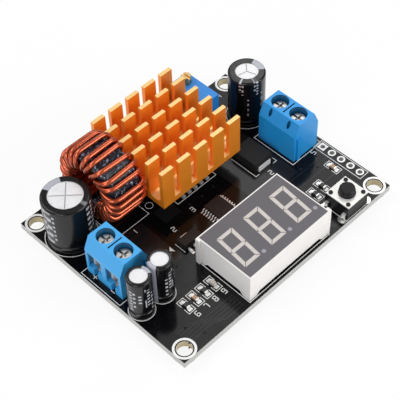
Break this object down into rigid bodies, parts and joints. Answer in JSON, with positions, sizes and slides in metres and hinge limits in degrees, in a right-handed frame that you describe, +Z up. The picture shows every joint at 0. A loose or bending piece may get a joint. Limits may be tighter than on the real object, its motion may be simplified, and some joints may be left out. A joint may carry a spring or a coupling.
{
  "type": "boost converter module",
  "caption": "Step-up power converter board with finned heatsink, toroidal inductor, capacitors, screw terminals, numeric display, push button and trimmer.",
  "frame": {"origin": "under the middle of the board, at the level of the trimmed lead tips that it stands on", "axes": "+X along the long side in the display's reading direction, +Y to the heatsink's side, +Z up from the board"},
  "size_m": [0.059, 0.047, 0.0206],
  "materials": {
    "bare_aluminium": "satin",
    "black_epoxy": "matte",
    "black_plastic": "matte",
    "black_sleeve": "gloss",
    "brass": "satin",
    "chip_ceramic": "matte",
    "core_coating": "gloss",
    "diffused_epoxy": "satin",
    "enamelled_copper": "gloss enamel",
    "gold_anodised": "satin anodised",
    "inner_board": "matte",
    "input_blue": "satin",
    "lamp_epoxy": "gloss",
    "nickel_plate": "satin",
    "output_blue": "satin",
    "plated_steel": "satin",
    "seal_rubber": "matte",
    "silicone_pad": "matte",
    "solder": "satin",
    "solder_mask": "gloss",
    "tinned_copper": "satin",
    "trimmer_blue": "satin",
    "white_plastic": "matte"
  },
  "bodies": {
    "module": {"amplifier_body": "black_epoxy", "amplifier_leads": "tinned_copper", "button_base": "black_plastic", "button_cover": "plated_steel", "button_dome": "plated_steel", "button_legs": "tinned_copper", "chip_bodies": "chip_ceramic", "chip_ends": "tinned_copper", "circuit_board": "solder_mask", "controller_body": "black_epoxy", "controller_leads": "tinned_copper", "diode_body": "black_epoxy", "diode_terminals": "tinned_copper", "display_inner_board": "inner_board", "display_pins": "tinned_copper", "display_resin": "diffused_epoxy", "display_segments": "diffused_epoxy", "display_shell": "white_plastic", "heatsink": "gold_anodised", "inductor_core": "core_coating", "inductor_winding": "enamelled_copper", "input_capacitor_can": "bare_aluminium", "input_capacitor_leads": "tinned_copper", "input_capacitor_seal": "seal_rubber", "input_capacitor_sleeve": "black_sleeve", "input_terminal_contacts": "tinned_copper", "input_terminal_housing": "input_blue", "lamp_base": "white_plastic", "lamp_lens": "lamp_epoxy", "output_capacitor_can": "bare_aluminium", "output_capacitor_leads": "tinned_copper", "output_capacitor_seal": "seal_rubber", "output_capacitor_sleeve": "black_sleeve", "output_terminal_contacts": "tinned_copper", "output_terminal_housing": "output_blue", "small_capacitor_cans": "bare_aluminium", "small_capacitor_leads": "tinned_copper", "small_capacitor_seals": "seal_rubber", "small_capacitor_sleeves": "black_sleeve", "solder_joints": "solder", "thermal_pad": "silicone_pad", "transistor_body": "black_epoxy", "transistor_leads": "tinned_copper", "transistor_tab": "tinned_copper", "trimmer_base": "diffused_epoxy", "trimmer_housing": "trimmer_blue", "trimmer_pins": "tinned_copper"},
    "input_screw_1": {"input_screw_1": "nickel_plate"},
    "input_clamp_1": {"input_clamp_1": "nickel_plate"},
    "input_screw_2": {"input_screw_2": "nickel_plate"},
    "input_clamp_2": {"input_clamp_2": "nickel_plate"},
    "output_screw_1": {"output_screw_1": "nickel_plate"},
    "output_clamp_1": {"output_clamp_1": "nickel_plate"},
    "output_screw_2": {"output_screw_2": "nickel_plate"},
    "output_clamp_2": {"output_clamp_2": "nickel_plate"},
    "button": {"button_plunger": "black_plastic"},
    "adjuster": {"trimmer_screw": "brass"},
    "wiper_wheel": {"trimmer_wheel": "white_plastic"}
  },
  "joints": [
    {"name": "input_screw_1_turn", "type": "hinge", "parent": "module", "child": "input_screw_1", "pos_m": [-0.0243, -0.0025, 0.01], "axis": [0, 0, -1], "range_deg": [0, 1368]},
    {"name": "input_clamp_1_rise", "type": "slide", "parent": "module", "child": "input_clamp_1", "axis": [0, 0, 1], "range_m": [0, 0.0019]},
    {"name": "input_screw_2_turn", "type": "hinge", "parent": "module", "child": "input_screw_2", "pos_m": [-0.0243, 0.0025, 0.01], "axis": [0, 0, -1], "range_deg": [0, 1368]},
    {"name": "input_clamp_2_rise", "type": "slide", "parent": "module", "child": "input_clamp_2", "axis": [0, 0, 1], "range_m": [0, 0.0019]},
    {"name": "output_screw_1_turn", "type": "hinge", "parent": "module", "child": "output_screw_1", "pos_m": [0.0243, -0.0025, 0.01], "axis": [0, 0, -1], "range_deg": [0, 1368]},
    {"name": "output_clamp_1_rise", "type": "slide", "parent": "module", "child": "output_clamp_1", "axis": [0, 0, 1], "range_m": [0, 0.0019]},
    {"name": "output_screw_2_turn", "type": "hinge", "parent": "module", "child": "output_screw_2", "pos_m": [0.0243, 0.0025, 0.01], "axis": [0, 0, -1], "range_deg": [0, 1368]},
    {"name": "output_clamp_2_rise", "type": "slide", "parent": "module", "child": "output_clamp_2", "axis": [0, 0, 1], "range_m": [0, 0.0019]},
    {"name": "button_press", "type": "slide", "parent": "module", "child": "button", "axis": [0, 0, 1], "range_m": [-0.00025, 0], "stiffness_N_per_m": 6000},
    {"name": "adjuster_turn", "type": "hinge", "parent": "module", "child": "adjuster", "pos_m": [0.0152, 0.021, 0.012], "axis": [0, 0, 1], "range_deg": [-4500, 4500]},
    {"name": "wheel_turn", "type": "hinge", "parent": "module", "child": "wiper_wheel", "pos_m": [0.01485, 0.018, 0.0076], "axis": [1, 0, 0], "range_deg": [-150.5, 150.5]}
  ],
  "couplings": [
    {"joint": "input_screw_1_turn", "follows": "input_clamp_1_rise", "rad_per_m": 12566},
    {"joint": "input_screw_2_turn", "follows": "input_clamp_2_rise", "rad_per_m": 12566},
    {"joint": "output_screw_1_turn", "follows": "output_clamp_1_rise", "rad_per_m": 12566},
    {"joint": "output_screw_2_turn", "follows": "output_clamp_2_rise", "rad_per_m": 12566},
    {"joint": "wheel_turn", "follows": "adjuster_turn", "ratio": 0.033333}
  ]
}
